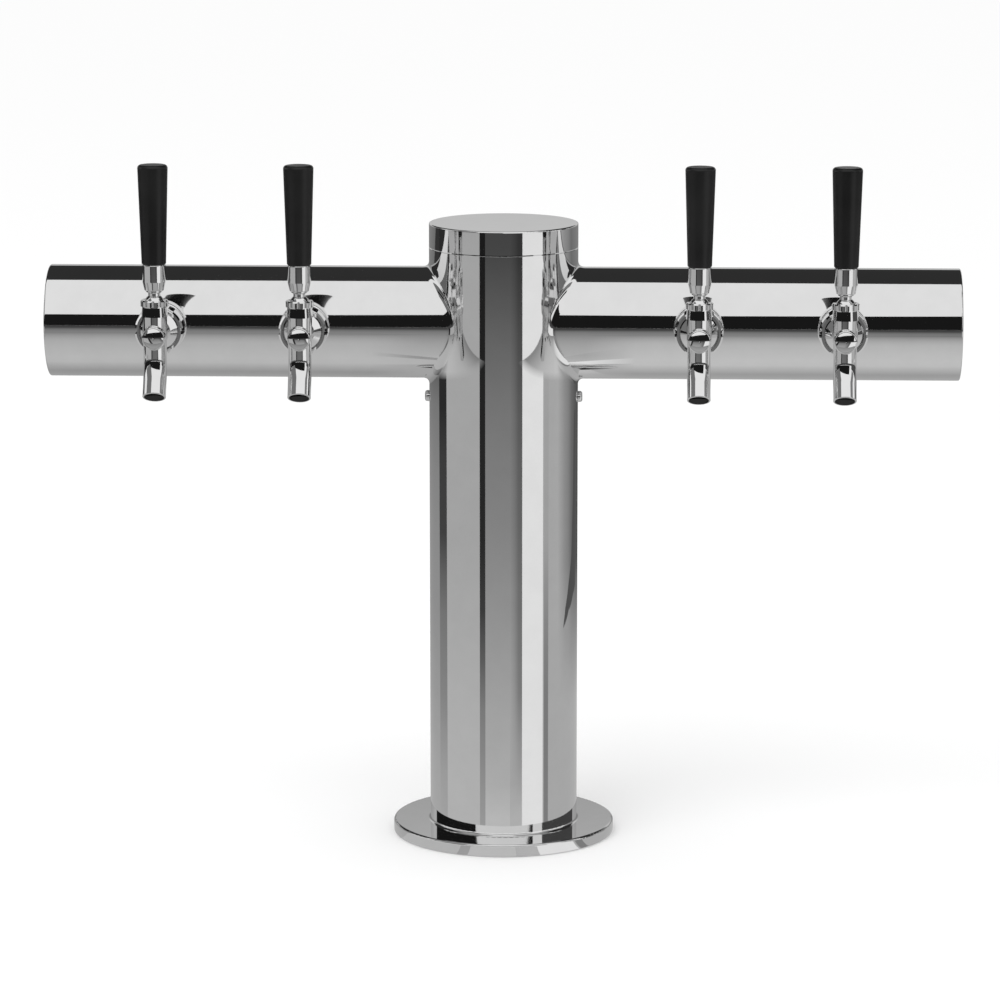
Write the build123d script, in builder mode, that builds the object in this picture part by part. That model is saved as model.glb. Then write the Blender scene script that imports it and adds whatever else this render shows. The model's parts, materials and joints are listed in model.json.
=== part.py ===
from build123d import *
from math import asin, cos, degrees, pi, radians, sin, sqrt, tan
import os

# Four-tap draught beer tower: a round column on a bolted base flange, two level
# arms, and four faucets with black handles. All sizes are in millimetres.
# The origin is the centre of the base's underside, +X runs along the arms,
# the faucets face -Y and +Z is up.

# ---------------------------------------------------------------- base
base_diameter = 152.4
base_thickness = 8.0
base_bore_diameter = 88.0
base_edge_round = 1.5
bolt_circle_diameter = 127.0
bolt_count = 4
bolt_first_angle = 45.0
bolt_hole_diameter = 5.0  # tapping size of an M6 thread
bolt_hole_depth = 6.0
base_gasket_inner_diameter = 106.0
base_gasket_width = 5.0
base_gasket_thickness = 2.0
gasket_groove_clearance = 0.1

# ---------------------------------------------------------------- column
column_diameter = 101.6
column_wall = 1.5
column_length = 400.0
contact_gap = 0.05  # between pieces welded, seated or screwed together

# ---------------------------------------------------------------- top cap
cap_height = 16.5
cap_plate = 2.5
cap_edge_round = 1.0
seam_chamfer = 0.4  # on the column's rim and the cap's lower edge, where they meet
cap_spigot_depth = 12.0
cap_spigot_wall = 4.0
cap_spigot_clearance = 0.2
cap_spigot_chamfer = 0.8
o_ring_section = 3.0
o_ring_drop = 6.0
o_ring_bore_clearance = 0.1
o_ring_groove_clearance = 0.1

# ---------------------------------------------------------------- arms
arm_diameter = 76.2
arm_wall = 1.5
arm_reach = 307.0
arm_below_rim = 13.9
end_cap_lip = 3.0
end_cap_plug = 9.0
end_cap_wall = 2.0
end_cap_clearance = 0.1
end_cap_edge_round = 1.0

# ---------------------------------------------------------------- side screws and bracket
screw_below_arm = 51.0
screw_thread_diameter = 4.0
screw_head_diameter = 7.6
screw_head_height = 3.0
screw_head_round = 1.6
screw_socket_size = 2.5
screw_socket_depth = 1.6
screw_hole_clearance = 0.2
screw_reach = 7.0
bracket_thickness = 2.0
bracket_width = 56.0
bracket_tab_width = 16.0
bracket_tab_height = 17.0
bracket_tab_thickness = 4.0
bracket_below_screw = 10.0
bracket_wall_clearance = 0.1
bracket_window_length = 30.0
bracket_window_width = 20.0
bracket_window_round = 2.0
bracket_hole_clearance = 0.5

# ---------------------------------------------------------------- insulation
insulation_thickness = 6.5
insulation_clearance = 0.3
insulation_below_bracket = 1.0

# ---------------------------------------------------------------- beer lines
line_diameter = 9.5
line_bore_diameter = 6.35
barb_clearance = 0.05
barb_bore_diameter = 4.0
line_column_x = 27.0
line_column_y = 19.0
line_bend_share = 0.45  # of the shorter run beside a corner, taken up by its arc
line_above_bracket = 10.0
line_bow = 1.5
line_bow_top = 190.0
line_bow_middle = 125.0
line_bow_bottom = 60.0
# Corners in the arms: distance inward from the elbow, Y, rise above the arm's axis.
outer_line_crossing = (66.0, 20.0, -7.0)
outer_line_straight = 31.5
inner_line_straight = 30.0
# Corners near the column: distance from its axis, Y, rise above the arm's axis.
outer_line_corners = [(98.0, 23.0, -6.0), (62.0, 21.0, -7.0), (38.0, 20.0, -22.0)]
inner_line_corners = [(56.0, -9.0, -6.0), (35.0, -16.0, -24.0)]
splicer_bottom = 2.0
splicer_stem_diameter = 9.5
splicer_stem_length = 20.0
splicer_collar_diameter = 12.5
splicer_collar_length = 4.0
splicer_barb_length = 15.0
clamp_width = 7.0
clamp_thickness = 1.0
clamp_clearance = 0.1
clamp_setback = 3.0
clamp_ear_height = 2.4
clamp_ear_width = 4.0

# ---------------------------------------------------------------- taps along the arms
first_tap_offset = 132.5
tap_spacing = 96.5
tap_rise = 2.0  # shank axis above the arm's axis

# ---------------------------------------------------------------- shank and its fittings
shank_diameter = 22.0
shank_bore_diameter = 8.0
shank_hole_clearance = 0.2
shank_tail_forward = 12.0
shank_collar_diameter = 25.0
shank_collar_thickness = 4.0
shank_recess_diameter = 14.0
shank_recess_minimum = 1.0
saddle_diameter = 34.0
saddle_thickness = 7.4
saddle_edge_round = 1.5
inner_saddle_thickness = 6.2
lock_nut_flats = 30.0
lock_nut_thickness = 6.0
coupling_nut_diameter = 32.6
coupling_nut_length = 15.8
coupling_nut_gap = 0.7
coupling_nut_lip = 3.8
coupling_nut_notches = 6
coupling_notch_width = 4.2
coupling_notch_depth = 1.8
coupling_nut_edge = 1.2
thread_clearance = 0.1
coupling_gasket_thickness = 1.5

# ---------------------------------------------------------------- tail elbow
elbow_flange_diameter = 18.0
elbow_flange_thickness = 2.5
elbow_tube_diameter = 10.0
elbow_bend_radius = 9.0
elbow_turn_behind_axis = 4.0
elbow_collar_offset = 14.0
elbow_barb_length = 17.0
elbow_nut_flats = 27.0
elbow_nut_grip = 8.0
elbow_nut_lip = 2.0
elbow_nut_clearance = 0.2

# ---------------------------------------------------------------- faucet body
faucet_thread_diameter = 26.6
faucet_thread_length = 5.5
faucet_neck_length = 4.0
lever_setback = 28.5
barrel_diameter = 16.4
barrel_wall = 1.2
boss_diameter = 15.2
boss_reach = 11.0
boss_dome = 1.5
boss_edge_round = 1.0
chamber_diameter = 13.6
seat_bore_diameter = 9.2
seat_thickness = 1.5
seat_gap = 0.1
seat_margin = 0.36
turret_diameter = 16.4
turret_bore_diameter = 11.2
turret_thread_diameter = 14.8
turret_shoulder_drop = 8.0
turret_top_drop = 5.0
spout_diameter = 15.6
spout_bore_diameter = 13.0
spout_drop = 39.6
spout_tilt = 31.0
spout_bend_drop = 22.5
spout_bend_radius = 30.0
spout_root_drop = 2.0
spout_lip_round = 0.5
finger_slot_clearance = 0.5
slot_wall = 1.6
web_edge_round = 1.2
casting_fillet = 1.0

# ---------------------------------------------------------------- valve shaft and seal
shaft_front_diameter = 12.0
shaft_bore_clearance = 0.2
shaft_web = 2.0
shaft_slot_clearance = 0.45
shaft_flat_height = 3.5
shaft_rod_diameter = 5.2
shaft_stem_diameter = 4.4
shaft_head_diameter = 8.0
shaft_head_thickness = 1.8
seal_diameter = 11.6
seal_thickness = 3.0
seal_bore_clearance = 0.05
valve_recess_margin = 1.0

# ---------------------------------------------------------------- lever
lever_swing = 25.0
pivot_height = 21.5
ball_diameter = 14.0
ball_clearance = 0.15
finger_length = 18.5
finger_diameter = 4.0
finger_tip_diameter = 5.2
lever_neck_diameter = 8.0
lever_flange_diameter = 10.8
lever_flange_thickness = 1.6
collar_height_above_pivot = 9.2
collar_length = 17.7
collar_bottom_diameter = 12.8
collar_top_diameter = 15.6
collar_bore_diameter = 10.0
collar_cone_length = 6.0  # the taper at its lower end
collar_edge_round = 0.9
lever_post_clearance = 0.05
lever_stud_diameter = 9.3
lever_stud_length = 13.0
stud_chamfer = 0.8

# ---------------------------------------------------------------- bonnet and ball washer
bonnet_above_pivot = 3.0
bonnet_rim_diameter = 18.6
bonnet_rim_height = 4.2
bonnet_rim_round = 0.8
bonnet_groove_diameter = 16.6
bonnet_groove_height = 0.6
bonnet_skirt_diameter = 17.6
bonnet_flutes = 12
bonnet_flute_diameter = 2.0
ball_washer_thickness = 1.8
ball_washer_clearance = 0.1

# ---------------------------------------------------------------- handle
handle_length = 66.1
handle_bottom_diameter = 16.2
handle_top_diameter = 20.2
handle_top_round = 2.2
handle_bottom_round = 0.8
insert_diameter = 11.2
insert_length = 15.5
insert_clearance = 0.05
stud_clearance = 0.05

# ================================================================ worked-out places
column_radius = column_diameter / 2
column_bore_radius = column_radius - column_wall
column_top = base_thickness + column_length
tower_height = column_top + cap_height

arm_radius = arm_diameter / 2
arm_bore_radius = arm_radius - arm_wall
arm_height = column_top - arm_below_rim - arm_radius
tap_height = arm_height + tap_rise

screw_height = arm_height - screw_below_arm
bracket_height = screw_height - bracket_below_screw
insulation_top = bracket_height - insulation_below_bracket

tap_places = [
    -first_tap_offset - tap_spacing,
    -first_tap_offset,
    first_tap_offset,
    first_tap_offset + tap_spacing,
]

# Distances forward of the arm's axis, towards the drinker.
saddle_face = arm_radius + saddle_thickness
coupling_back = saddle_face + coupling_nut_gap
coupling_front = coupling_back + coupling_nut_length
shank_collar_back = coupling_back + coupling_nut_lip
shank_face = shank_collar_back + shank_collar_thickness
faucet_back = shank_face + coupling_gasket_thickness
faucet_thread_front = faucet_back + faucet_thread_length
neck_front = faucet_thread_front + faucet_neck_length
lever_forward = faucet_back + lever_setback

# The lever's finger pushes the valve shaft back by this much.
swing = radians(lever_swing)
valve_travel = finger_length * sin(swing)
slot_half_width = finger_tip_diameter / 2 + shaft_slot_clearance
shaft_front_back = lever_forward - slot_half_width - shaft_web
seat_front = shaft_front_back - valve_travel - seat_margin
seat_face = seat_front - seat_thickness
seal_front = seat_face - seat_gap
seal_back = seal_front - seal_thickness
shaft_head_back = seal_back - shaft_head_thickness
shank_recess_depth = max(
    shank_face - (shaft_head_back - valve_travel) + valve_recess_margin,
    shank_recess_minimum,
)

barrel_radius = barrel_diameter / 2
nose_bore_radius = barrel_radius - barrel_wall
shaft_radius = shaft_front_diameter / 2
shaft_bore_radius = shaft_radius + shaft_bore_clearance

# Heights above the shank's axis.
ball_radius = ball_diameter / 2
tip_height = pivot_height - finger_length
turret_top = pivot_height - turret_top_drop
turret_shoulder = pivot_height - turret_shoulder_drop
bonnet_top = pivot_height + bonnet_above_pivot
collar_bottom = pivot_height + collar_height_above_pivot
handle_bottom = collar_bottom + collar_length
handle_top = handle_bottom + handle_length

# The splicers stand above the base's underside and carry the lines' lower ends.
splicer_stem_top = splicer_bottom + splicer_stem_length
line_end = splicer_stem_top + splicer_collar_length


# ================================================================ shared places and outlines
def side_plane(x):
    """Upright plane through a tap: first axis forward, second axis up from the shank."""
    return Plane(origin=(x, 0, tap_height), x_dir=(0, -1, 0), z_dir=(-1, 0, 0))


def front_plane(x, forward):
    """Plane across the shank, facing forward, at a distance from the arm's axis."""
    return Plane(origin=(x, -forward, tap_height), x_dir=(1, 0, 0), z_dir=(0, -1, 0))


def shank_axis(x):
    """Level axis of a tap, pointing forward."""
    return Axis((x, 0, tap_height), (0, -1, 0))


def lever_axis(x):
    """Upright axis through a tap's bonnet, lever and handle."""
    return Axis((x, -lever_forward, tap_height), (0, 0, 1))


def outline(plane, points):
    """Flat face inside a closed outline of straight runs."""
    with BuildSketch(plane) as face:
        with BuildLine():
            Polyline(*points, close=True)
        make_face()
    return face.sketch


def chord(radius, offset):
    """Half the width of a circle at an offset from its centre."""
    return sqrt(radius**2 - offset**2)


def rise_angle(radius, rise):
    """Angle in degrees, seen from a circle's centre, at which the circle has risen this far."""
    return degrees(asin(rise / radius))


def inward(x):
    """Direction along X from a tap towards the column."""
    return -1 if x > 0 else 1


# ================================================================ base and column
def make_base_flange():
    groove_inner = base_gasket_inner_diameter / 2 - gasket_groove_clearance
    groove_outer = base_gasket_inner_diameter / 2 + base_gasket_width + gasket_groove_clearance
    with BuildPart() as flange:
        with BuildSketch(Plane.XY):
            Circle(base_diameter / 2)
            Circle(base_bore_diameter / 2, mode=Mode.SUBTRACT)
        extrude(amount=base_thickness)
        rim = flange.edges().filter_by(GeomType.CIRCLE).group_by(Axis.Z)[-1].sort_by(SortBy.RADIUS)[-1]
        fillet(rim, base_edge_round)
        with BuildSketch(Plane.XY):
            with PolarLocations(bolt_circle_diameter / 2, bolt_count, start_angle=bolt_first_angle):
                Circle(bolt_hole_diameter / 2)
        extrude(amount=bolt_hole_depth, mode=Mode.SUBTRACT)
        with BuildSketch(Plane.XY):
            Circle(groove_outer)
            Circle(groove_inner, mode=Mode.SUBTRACT)
        extrude(amount=base_gasket_thickness, mode=Mode.SUBTRACT)
    return flange.part


def make_base_gasket():
    inner_radius = base_gasket_inner_diameter / 2
    with BuildPart() as gasket:
        with BuildSketch(Plane.XY):
            Circle(inner_radius + base_gasket_width)
            Circle(inner_radius, mode=Mode.SUBTRACT)
        extrude(amount=base_gasket_thickness)
    return gasket.part


def make_column_tube():
    screw_hole_radius = screw_thread_diameter / 2 + screw_hole_clearance
    with BuildPart() as tube:
        with BuildSketch(Plane.XY.offset(base_thickness)):
            Circle(column_radius)
            Circle(column_bore_radius, mode=Mode.SUBTRACT)
        extrude(amount=column_length)
        rim = tube.edges().group_by(Axis.Z)[-1].sort_by(SortBy.RADIUS)[-1]
        chamfer(rim, seam_chamfer)
        with BuildSketch(Plane.YZ):
            with Locations((0, arm_height)):
                Circle(arm_bore_radius)
            with Locations((0, screw_height)):
                Circle(screw_hole_radius)
        extrude(amount=column_diameter, both=True, mode=Mode.SUBTRACT)
    return tube.part


def make_arm_tube(side):
    """One arm, coped to the column. side is -1 for left and +1 for right."""
    hole_radius = shank_diameter / 2 + shank_hole_clearance
    with BuildPart() as tube:
        with BuildSketch(Plane.YZ):
            with Locations((0, arm_height)):
                Circle(arm_radius)
                Circle(arm_bore_radius, mode=Mode.SUBTRACT)
        extrude(amount=side * arm_reach)
        with BuildSketch(Plane.XY):
            Circle(column_radius + contact_gap)
        extrude(amount=tower_height, mode=Mode.SUBTRACT)
        for x in tap_places:
            if x * side > 0:
                with BuildSketch(front_plane(x, 0)):
                    Circle(hole_radius)
                extrude(amount=arm_diameter, mode=Mode.SUBTRACT)
    return tube.part


def make_end_cap(side):
    """Polished disc that plugs the open end of an arm."""
    plug_radius = arm_bore_radius - end_cap_clearance
    with BuildPart() as cap:
        with BuildSketch(Plane.YZ.offset(side * arm_reach)):
            with Locations((0, arm_height)):
                Circle(arm_radius)
        extrude(amount=side * end_cap_lip)
        outer_edge = cap.edges().filter_by(GeomType.CIRCLE).sort_by(Axis.X)[0 if side < 0 else -1]
        fillet(outer_edge, end_cap_edge_round)
        with BuildSketch(Plane.YZ.offset(side * arm_reach)):
            with Locations((0, arm_height)):
                Circle(plug_radius)
                Circle(plug_radius - end_cap_wall, mode=Mode.SUBTRACT)
        extrude(amount=-side * end_cap_plug)
    return cap.part


def make_top_cap():
    spigot_radius = column_bore_radius - cap_spigot_clearance
    groove_radius = (
        column_bore_radius - o_ring_bore_clearance - o_ring_section - o_ring_groove_clearance
    )
    groove_half_height = o_ring_section / 2 + o_ring_groove_clearance
    groove_height = column_top - o_ring_drop
    with BuildPart() as cap:
        with BuildSketch(Plane.XY.offset(column_top)):
            Circle(column_radius)
        extrude(amount=cap_height)
        fillet(cap.edges().group_by(Axis.Z)[-1], cap_edge_round)
        chamfer(cap.edges().group_by(Axis.Z)[0], seam_chamfer)
        with BuildSketch(Plane.XY.offset(column_top)):
            Circle(spigot_radius)
        extrude(amount=-cap_spigot_depth)
        chamfer(cap.edges().group_by(Axis.Z)[0], cap_spigot_chamfer)
        with BuildSketch(Plane.XY.offset(column_top - cap_spigot_depth)):
            Circle(spigot_radius - cap_spigot_wall)
        extrude(amount=cap_spigot_depth + cap_height - cap_plate, mode=Mode.SUBTRACT)
        with BuildSketch(Plane.XY.offset(groove_height - groove_half_height)):
            Circle(spigot_radius + cap_spigot_clearance)
            Circle(groove_radius, mode=Mode.SUBTRACT)
        extrude(amount=2 * groove_half_height, mode=Mode.SUBTRACT)
    return cap.part


def make_cap_o_ring():
    section_radius = o_ring_section / 2
    ring_radius = column_bore_radius - o_ring_bore_clearance - section_radius
    with BuildPart() as ring:
        with BuildSketch(Plane.XZ):
            with Locations((ring_radius, column_top - o_ring_drop)):
                Circle(section_radius)
        revolve(axis=Axis.Z)
    return ring.part


def make_side_screws():
    """Button-head screws through the column's left and right walls."""
    with BuildPart() as screws:
        for side in (-1, 1):
            seat_x = side * column_radius
            seat = Plane(origin=(seat_x, 0, screw_height), x_dir=(0, 1, 0), z_dir=(side, 0, 0))
            with BuildSketch(seat):
                Circle(screw_head_diameter / 2)
            extrude(amount=screw_head_height)
            with BuildSketch(seat):
                Circle(screw_thread_diameter / 2)
            extrude(amount=-screw_reach)
        for side in (Axis.X, -Axis.X):
            crown = screws.edges().filter_by(GeomType.CIRCLE).sort_by(side)[-1]
            fillet(crown, screw_head_round)
        for side in (-1, 1):
            crown_x = side * (column_radius + screw_head_height)
            crown_plane = Plane(origin=(crown_x, 0, screw_height), x_dir=(0, 1, 0), z_dir=(side, 0, 0))
            with BuildSketch(crown_plane):
                RegularPolygon(screw_socket_size / 2, 6, major_radius=False)
            extrude(amount=-screw_socket_depth, mode=Mode.SUBTRACT)
    return screws.part


def make_line_bracket():
    """Perforated plate inside the column, held by the side screws, that guides the lines."""
    outer_radius = column_bore_radius - bracket_wall_clearance
    tab_face = outer_radius - bracket_tab_thickness
    line_hole_radius = line_diameter / 2 + bracket_hole_clearance
    with BuildPart() as bracket:
        with BuildSketch(Plane.XY.offset(bracket_height)):
            Rectangle(column_diameter, bracket_width)
            with GridLocations(2 * line_column_x, 2 * line_column_y, 2, 2):
                Circle(line_hole_radius, mode=Mode.SUBTRACT)
            RectangleRounded(
                bracket_window_length, bracket_window_width, bracket_window_round, mode=Mode.SUBTRACT
            )
        extrude(amount=bracket_thickness)
        with BuildSketch(Plane.XY.offset(bracket_height)):
            Rectangle(column_diameter, bracket_tab_width)
            Rectangle(2 * tab_face, bracket_tab_width, mode=Mode.SUBTRACT)
        extrude(amount=bracket_tab_height)
        with BuildSketch(Plane.XY.offset(bracket_height)):
            Circle(outer_radius)
        extrude(amount=bracket_tab_height, mode=Mode.INTERSECT)
        with BuildSketch(Plane.YZ):
            with Locations((0, screw_height)):
                Circle(screw_thread_diameter / 2 + contact_gap)
        extrude(amount=column_diameter, both=True, mode=Mode.SUBTRACT)
    return bracket.part


def make_column_insulation():
    outer_radius = column_bore_radius - insulation_clearance
    with BuildPart() as sleeve:
        with BuildSketch(Plane.XY.offset(base_thickness)):
            Circle(outer_radius)
            Circle(outer_radius - insulation_thickness, mode=Mode.SUBTRACT)
        extrude(amount=insulation_top - base_thickness)
    return sleeve.part


# ================================================================ shanks and their fittings
def make_faucet_shanks():
    """Threaded tubes through the arm wall, each with a collar that meets the faucet."""
    bore_radius = shank_bore_diameter / 2
    recess_floor = shank_face - shank_recess_depth
    with BuildPart() as shanks:
        for x in tap_places:
            section = outline(
                side_plane(x),
                [
                    (shank_tail_forward, bore_radius),
                    (shank_tail_forward, shank_diameter / 2),
                    (shank_collar_back, shank_diameter / 2),
                    (shank_collar_back, shank_collar_diameter / 2),
                    (shank_face, shank_collar_diameter / 2),
                    (shank_face, shank_recess_diameter / 2),
                    (recess_floor, shank_recess_diameter / 2),
                    (recess_floor, bore_radius),
                ],
            )
            revolve(section, axis=shank_axis(x))
    return shanks.part


def make_shank_flanges():
    """Saddle washers between the arm's outside and the coupling nuts."""
    with BuildPart() as flanges:
        for x in tap_places:
            with BuildSketch(front_plane(x, 0)):
                Circle(saddle_diameter / 2)
            extrude(amount=saddle_face)
        front_rims = flanges.edges().filter_by(GeomType.CIRCLE).group_by(Axis.Y)[0]
        fillet(front_rims, saddle_edge_round)
        for x in tap_places:
            with BuildSketch(front_plane(x, 0)):
                Circle(shank_diameter / 2 + shank_hole_clearance)
            extrude(amount=saddle_face, mode=Mode.SUBTRACT)
        with BuildSketch(Plane.YZ):
            with Locations((0, arm_height)):
                Circle(arm_radius + contact_gap)
        extrude(amount=arm_reach, both=True, mode=Mode.SUBTRACT)
    return flanges.part


def make_shank_saddle_washers():
    """Curved washers between the arm's inside and the lock nuts."""
    with BuildPart() as washers:
        for x in tap_places:
            with BuildSketch(front_plane(x, arm_bore_radius - inner_saddle_thickness)):
                Circle(saddle_diameter / 2)
                Circle(shank_diameter / 2 + shank_hole_clearance, mode=Mode.SUBTRACT)
            extrude(amount=inner_saddle_thickness)
        with BuildSketch(Plane.YZ):
            with Locations((0, arm_height)):
                Circle(arm_bore_radius - contact_gap)
        extrude(amount=arm_reach, both=True, mode=Mode.INTERSECT)
    return washers.part


def make_shank_lock_nuts():
    nut_front = arm_bore_radius - inner_saddle_thickness
    with BuildPart() as nuts:
        for x in tap_places:
            with BuildSketch(front_plane(x, nut_front)):
                RegularPolygon(lock_nut_flats / 2, 6, major_radius=False)
                Circle(shank_diameter / 2 + contact_gap, mode=Mode.SUBTRACT)
            extrude(amount=-lock_nut_thickness)
    return nuts.part


def make_coupling_nuts():
    """Notched rings that pull the faucets onto the shanks."""
    lip_radius = shank_diameter / 2 + thread_clearance
    thread_radius = faucet_thread_diameter / 2 + thread_clearance
    outer_radius = coupling_nut_diameter / 2
    with BuildPart() as nuts:
        for x in tap_places:
            section = outline(
                side_plane(x),
                [
                    (coupling_back, lip_radius),
                    (coupling_back, outer_radius - coupling_nut_edge),
                    (coupling_back + coupling_nut_edge, outer_radius),
                    (coupling_front - coupling_nut_edge, outer_radius),
                    (coupling_front, outer_radius - coupling_nut_edge),
                    (coupling_front, thread_radius),
                    (shank_collar_back, thread_radius),
                    (shank_collar_back, lip_radius),
                ],
            )
            revolve(section, axis=shank_axis(x))
            with BuildSketch(front_plane(x, coupling_back)):
                with PolarLocations(outer_radius, coupling_nut_notches):
                    Rectangle(2 * coupling_notch_depth, coupling_notch_width)
            extrude(amount=coupling_nut_length, mode=Mode.SUBTRACT)
    return nuts.part


def make_coupling_gaskets():
    with BuildPart() as gaskets:
        for x in tap_places:
            with BuildSketch(front_plane(x, shank_face)):
                Circle(shank_collar_diameter / 2)
                Circle(shank_recess_diameter / 2, mode=Mode.SUBTRACT)
            extrude(amount=coupling_gasket_thickness)
    return gaskets.part


# ================================================================ tail elbows and lines
def elbow_collar_face(x):
    """X of the face that the beer line's end butts against on an elbow."""
    return x + inward(x) * elbow_collar_offset


def make_tail_elbows():
    """Bent tails behind the shanks, each with a flange, a collar and a hose barb."""
    flange_back = shank_tail_forward - elbow_flange_thickness
    barb_radius = line_bore_diameter / 2 - barb_clearance
    turn_y = elbow_turn_behind_axis
    with BuildPart() as elbows:
        for x in tap_places:
            barb_start = elbow_collar_face(x)
            barb_end = barb_start + inward(x) * elbow_barb_length
            with BuildLine() as route:
                FilletPolyline(
                    (x, -flange_back, tap_height),
                    (x, turn_y, tap_height),
                    (barb_start, turn_y, tap_height),
                    radius=elbow_bend_radius,
                )
            with BuildSketch(front_plane(x, flange_back)):
                Circle(elbow_tube_diameter / 2)
            sweep(path=route.line)
            with BuildSketch(front_plane(x, flange_back)):
                Circle(elbow_flange_diameter / 2)
            extrude(amount=elbow_flange_thickness)
            barb_plane = Plane(
                origin=(barb_start, turn_y, tap_height), x_dir=(0, 1, 0), z_dir=(inward(x), 0, 0)
            )
            with BuildSketch(barb_plane):
                Circle(barb_radius)
            extrude(amount=elbow_barb_length)
            with BuildLine() as bore_route:
                FilletPolyline(
                    (x, -shank_tail_forward, tap_height),
                    (x, turn_y, tap_height),
                    (barb_end, turn_y, tap_height),
                    radius=elbow_bend_radius,
                )
            with BuildSketch(front_plane(x, shank_tail_forward)):
                Circle(barb_bore_diameter / 2)
            sweep(path=bore_route.line, mode=Mode.SUBTRACT)
    return elbows.part


def make_elbow_nuts():
    """Hexagon nuts that hold the tail elbows against the shanks' rear ends."""
    flange_back = shank_tail_forward - elbow_flange_thickness
    nut_back = flange_back - elbow_nut_lip
    nut_length = elbow_flange_thickness + elbow_nut_lip + elbow_nut_grip
    with BuildPart() as nuts:
        for x in tap_places:
            with BuildSketch(front_plane(x, nut_back)):
                RegularPolygon(elbow_nut_flats / 2, 6, major_radius=False)
                Circle(elbow_tube_diameter / 2 + elbow_nut_clearance, mode=Mode.SUBTRACT)
            extrude(amount=nut_length)
            with BuildSketch(front_plane(x, flange_back)):
                Circle(shank_diameter / 2 + thread_clearance)
            extrude(amount=nut_length, mode=Mode.SUBTRACT)
    return nuts.part


def line_route(x):
    """Corners of a tap's beer line, from its elbow to its splicer."""
    side = -inward(x)
    start = abs(elbow_collar_face(x))
    if abs(x) > first_tap_offset + tap_spacing / 2:
        depth_side = 1
        crossing, cross_y, cross_rise = outer_line_crossing
        upper = [
            (start - outer_line_straight, elbow_turn_behind_axis, tap_rise),
            (start - crossing, cross_y, cross_rise),
        ] + outer_line_corners
    else:
        depth_side = -1
        upper = [(start - inner_line_straight, elbow_turn_behind_axis, tap_rise)] + inner_line_corners
    down_x = side * line_column_x
    down_y = depth_side * line_column_y
    points = [(side * start, elbow_turn_behind_axis, tap_height)]
    points += [(side * along, y, arm_height + rise) for along, y, rise in upper]
    points += [
        (down_x, down_y, bracket_height + line_above_bracket),
        (down_x, down_y, line_bow_top),
        (down_x - side * line_bow, down_y + depth_side * line_bow, line_bow_middle),
        (down_x, down_y, line_bow_bottom),
        (down_x, down_y, line_end),
    ]
    return [Vector(*point) for point in points]


def bend_radii(points):
    """Largest arc radius at each inner point that its two runs leave room for."""
    radii = []
    for before, point, after in zip(points, points[1:], points[2:]):
        run_in = point - before
        run_out = after - point
        half_turn = radians(run_in.get_angle(run_out)) / 2
        radii.append(line_bend_share * min(run_in.length, run_out.length) / tan(half_turn))
    return radii


def make_beer_line(x):
    points = line_route(x)
    radii = bend_radii(points)
    print("line at", x, "radii", [round(radius, 1) for radius in radii])
    with BuildPart() as line:
        with BuildLine() as route:
            FilletPolyline(*points, radius=radii)
        start = Plane(origin=points[0], x_dir=(0, 1, 0), z_dir=(inward(x), 0, 0))
        with BuildSketch(start):
            Circle(line_diameter / 2)
            Circle(line_bore_diameter / 2, mode=Mode.SUBTRACT)
        sweep(path=route.line)
    length = sum(run.length for run in route.edges())
    section = pi * (line_diameter**2 - line_bore_diameter**2) / 4
    print("  length", round(length, 1), "volume ratio", round(line.part.volume / section / length, 5))
    return line.part


def make_line_splicers():
    """Stems at the base, each with a hose barb above and a push-fit end below."""
    barb_radius = line_bore_diameter / 2 - barb_clearance
    corners = GridLocations(2 * line_column_x, 2 * line_column_y, 2, 2)
    with BuildPart() as splicers:
        with BuildSketch(Plane.XY.offset(splicer_bottom)):
            with corners:
                Circle(splicer_stem_diameter / 2)
        extrude(amount=splicer_stem_length)
        with BuildSketch(Plane.XY.offset(splicer_stem_top)):
            with corners:
                Circle(splicer_collar_diameter / 2)
        extrude(amount=splicer_collar_length)
        with BuildSketch(Plane.XY.offset(line_end)):
            with corners:
                Circle(barb_radius)
        extrude(amount=splicer_barb_length)
        with BuildSketch(Plane.XY.offset(splicer_bottom)):
            with corners:
                Circle(barb_bore_diameter / 2)
        extrude(amount=line_end + splicer_barb_length, mode=Mode.SUBTRACT)
    return splicers.part


def make_line_clamps():
    """Crimped ear clamps on the lines, one at each elbow and one at each splicer."""
    inner_radius = line_diameter / 2 + clamp_clearance
    outer_radius = inner_radius + clamp_thickness
    planes = []
    for x in tap_places:
        clamp_x = elbow_collar_face(x) + inward(x) * clamp_setback
        planes.append(
            Plane(
                origin=(clamp_x, elbow_turn_behind_axis, tap_height),
                x_dir=(0, 0, 1),
                z_dir=(inward(x), 0, 0),
            )
        )
    for x in (-line_column_x, line_column_x):
        for y in (-line_column_y, line_column_y):
            planes.append(
                Plane(origin=(x, y, line_end + clamp_setback), x_dir=(-x, -y, 0), z_dir=(0, 0, 1))
            )
    with BuildPart() as clamps:
        for plane in planes:
            with BuildSketch(plane):
                Circle(outer_radius)
                with Locations((outer_radius, 0)):
                    Rectangle(2 * clamp_ear_height, clamp_ear_width)
                Circle(inner_radius, mode=Mode.SUBTRACT)
            extrude(amount=clamp_width)
    return clamps.part


# ================================================================ faucet
def spout_route(x):
    """Centre line of the spout: down out of the barrel, then forward at its tilt."""
    plane = side_plane(x)
    tip_forward = lever_forward + (spout_drop - spout_bend_drop) * tan(radians(spout_tilt))
    with BuildLine(plane) as route:
        FilletPolyline(
            (lever_forward, -spout_root_drop),
            (lever_forward, -spout_bend_drop),
            (tip_forward, -spout_drop),
            radius=spout_bend_radius,
        )
    return route.line


def finger_point(along, across):
    """A point of the finger at full swing: along it from the pivot, across to its rear."""
    forward = lever_forward - along * sin(swing) - across * cos(swing)
    height = pivot_height - along * cos(swing) + across * sin(swing)
    return forward, height


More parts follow.
